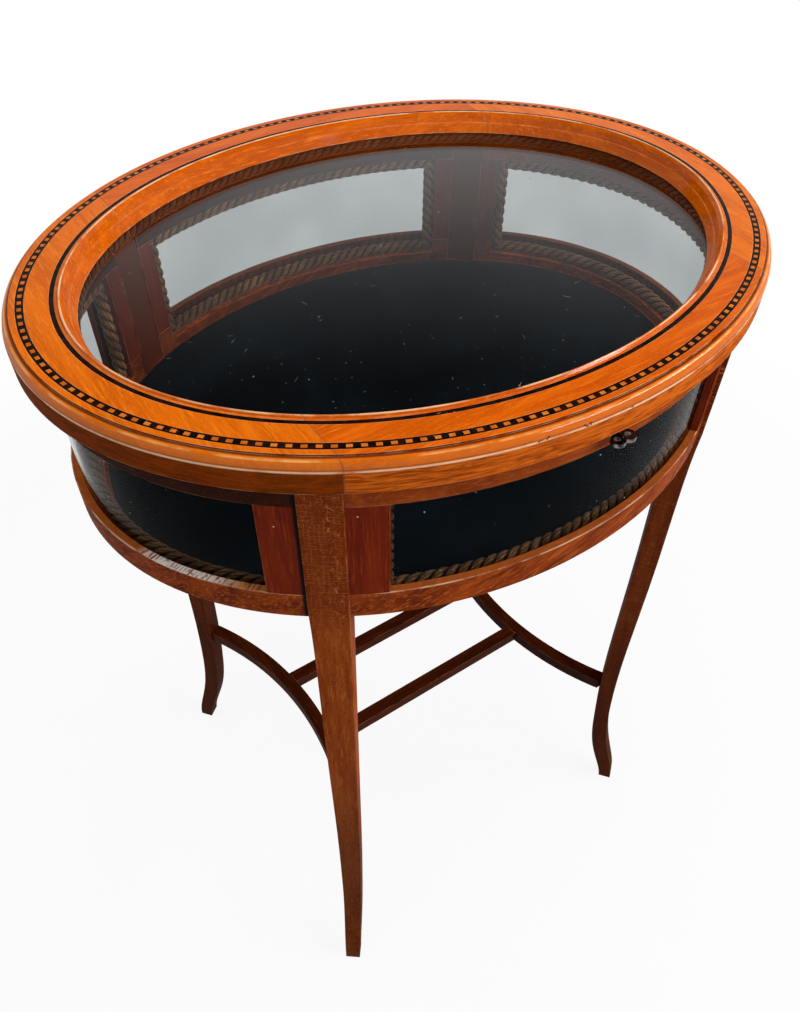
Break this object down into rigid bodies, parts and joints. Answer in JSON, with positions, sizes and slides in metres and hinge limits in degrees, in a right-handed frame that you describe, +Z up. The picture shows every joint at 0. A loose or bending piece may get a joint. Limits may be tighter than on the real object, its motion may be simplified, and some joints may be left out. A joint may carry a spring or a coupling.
{
  "type": "collectors display table",
  "caption": "Oval glazed display table on sabre legs with stretchers; the inlaid glass lid lifts on back hinges over a velvet-lined case with bent glass sides and a key lock.",
  "frame": {"origin": "on the floor under the middle of the oval", "axes": "+X along the oval's long axis, -Y towards the lock and key, +Y towards the hinges, +Z up"},
  "size_m": [0.57, 0.4553, 0.7415],
  "materials": {
    "lid_wood": "orange-brown satinwood, polished",
    "case_wood": "red-brown mahogany, polished",
    "leg_wood": "dark red-brown mahogany, polished, with fine crazing",
    "inlay_dark": "ebonised stringing under polish",
    "inlay_light": "boxwood tiles under polish",
    "glass": "clear, with fine scratches",
    "cord": "twisted brown rope",
    "velvet": "midnight-blue velvet",
    "brass": "aged",
    "steel": "worn plating"
  },
  "bodies": {
    "case": {"leg_front_left": "leg_wood", "leg_front_right": "leg_wood", "leg_back_left": "leg_wood", "leg_back_right": "leg_wood", "end_stretcher_left": "leg_wood", "end_stretcher_right": "leg_wood", "long_stretcher_front": "leg_wood", "long_stretcher_back": "leg_wood", "bottom_rail_front": "case_wood", "bottom_rail_back": "case_wood", "bottom_rail_left": "case_wood", "bottom_rail_right": "case_wood", "top_rail_front": "case_wood", "top_rail_back": "case_wood", "top_rail_left": "case_wood", "top_rail_right": "case_wood", "base_board": "case_wood", "stile_front_left": "case_wood", "stile_left_front": "case_wood", "stile_front_right": "case_wood", "stile_right_front": "case_wood", "stile_back_left": "case_wood", "stile_left_back": "case_wood", "stile_back_right": "case_wood", "stile_right_back": "case_wood", "side_glass_front": "glass", "side_glass_back": "glass", "side_glass_left": "glass", "side_glass_right": "glass", "glazing_cord_front": "cord", "glazing_cord_back": "cord", "glazing_cord_left": "cord", "glazing_cord_right": "cord", "velvet_lining": "velvet", "hinge_case_leaf_left": "brass", "hinge_case_leaf_right": "brass", "hinge_pins": "brass", "hinge_screws_case": "brass", "escutcheon": "brass", "lock_case": "brass"},
    "lid": {"lid_rail_front": "lid_wood", "lid_rail_back": "lid_wood", "lid_rail_left": "lid_wood", "lid_rail_right": "lid_wood", "lid_moulding_front": "lid_wood", "lid_moulding_back": "lid_wood", "lid_moulding_left": "lid_wood", "lid_moulding_right": "lid_wood", "chequer_band": "inlay_dark", "chequer_tiles": "inlay_light", "string_line": "inlay_dark", "lid_glass": "glass", "lid_cord": "cord", "hinge_lid_leaf_left": "brass", "hinge_lid_leaf_right": "brass", "hinge_screws_lid": "brass", "lock_staple": "brass"},
    "key": {"key": "steel"},
    "bolt": {"lock_bolt": "brass"}
  },
  "joints": [
    {"name": "lid_hinge", "type": "hinge", "parent": "case", "child": "lid", "pos_m": [0, 0.2192, 0.71615], "axis": [-1, 0, 0], "range_deg": [0, 110]},
    {"name": "key_turn", "type": "hinge", "parent": "case", "child": "key", "pos_m": [0, -0.2165, 0.705], "axis": [0, 1, 0], "range_deg": [0, 180]},
    {"name": "bolt_slide", "type": "slide", "parent": "case", "child": "bolt", "axis": [1, 0, 0], "range_m": [0, 0.005]}
  ],
  "couplings": [
    {"joint": "bolt_slide", "follows": "key_turn", "m_per_rad": 0.0015915}
  ]
}
